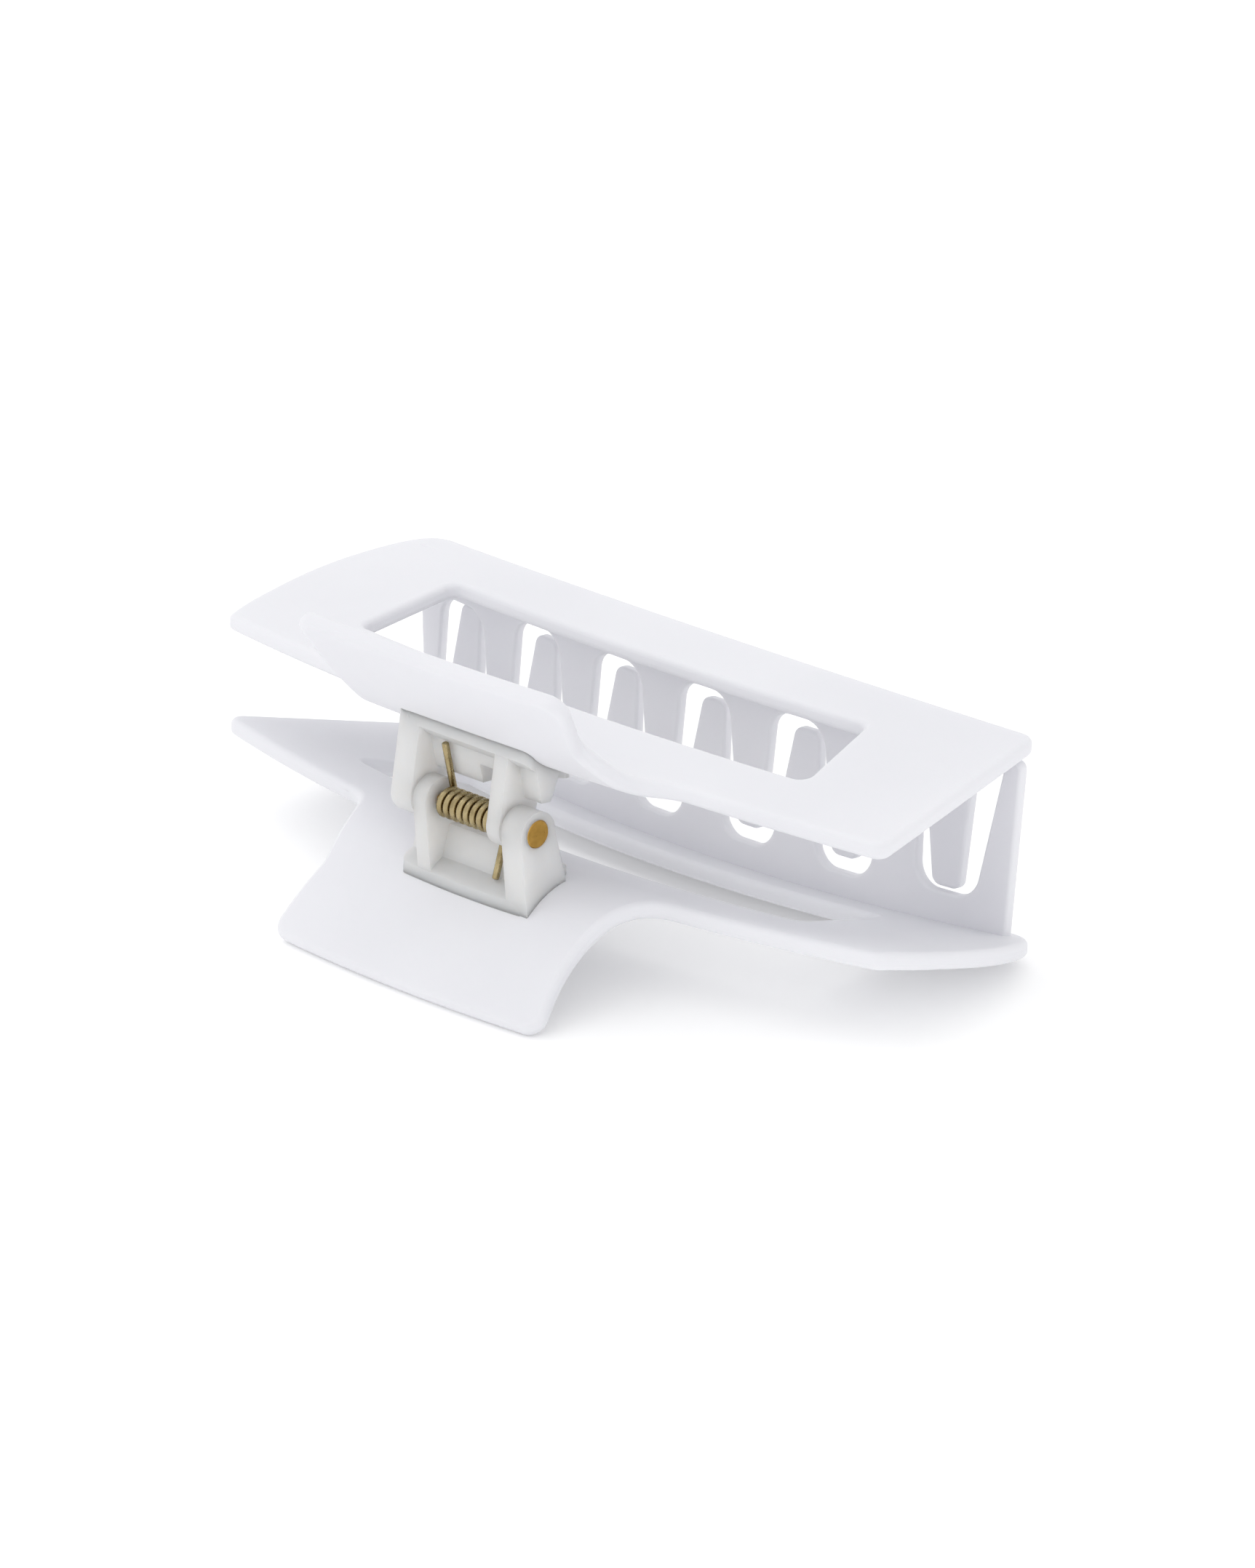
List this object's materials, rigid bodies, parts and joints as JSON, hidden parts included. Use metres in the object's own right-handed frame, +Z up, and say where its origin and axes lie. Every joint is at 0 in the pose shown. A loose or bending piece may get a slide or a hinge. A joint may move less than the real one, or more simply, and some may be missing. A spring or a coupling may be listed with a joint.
{
  "type": "hair claw clip",
  "caption": "Sprung hair claw clip: two bowed rectangular jaws with windows, interleaved teeth and thumb tabs, hinged on a short metal pin with a torsion spring.",
  "frame": {"origin": "centre of the footprint on the table the closed clip rests on, under the middle of its box", "axes": "+X along the clip's length and its hinge pin, +Y from the thumb tabs towards the toothed wall, +Z up from the table"},
  "size_m": [0.1035, 0.0506, 0.0376],
  "materials": {
    "soft_white": "soft-touch matte white",
    "frosted": "frosted translucent",
    "pin_brass": "satin",
    "spring_brass": "drawn wire"
  },
  "bodies": {
    "lower": {"lower_jaw": "soft_white", "lower_hinge_bracket": "frosted", "hinge_pin": "pin_brass", "torsion_spring": "spring_brass"},
    "upper": {"upper_jaw": "soft_white", "upper_hinge_bracket": "frosted"}
  },
  "joints": [
    {"name": "claw_hinge", "type": "hinge", "parent": "lower", "child": "upper", "pos_m": [0, -0.01374, 0.01721], "axis": [1, 0, 0], "range_deg": [0, 55], "stiffness_Nm_per_rad": 0.06, "springref_deg": -68.75, "deforming": ["torsion_spring"]}
  ]
}
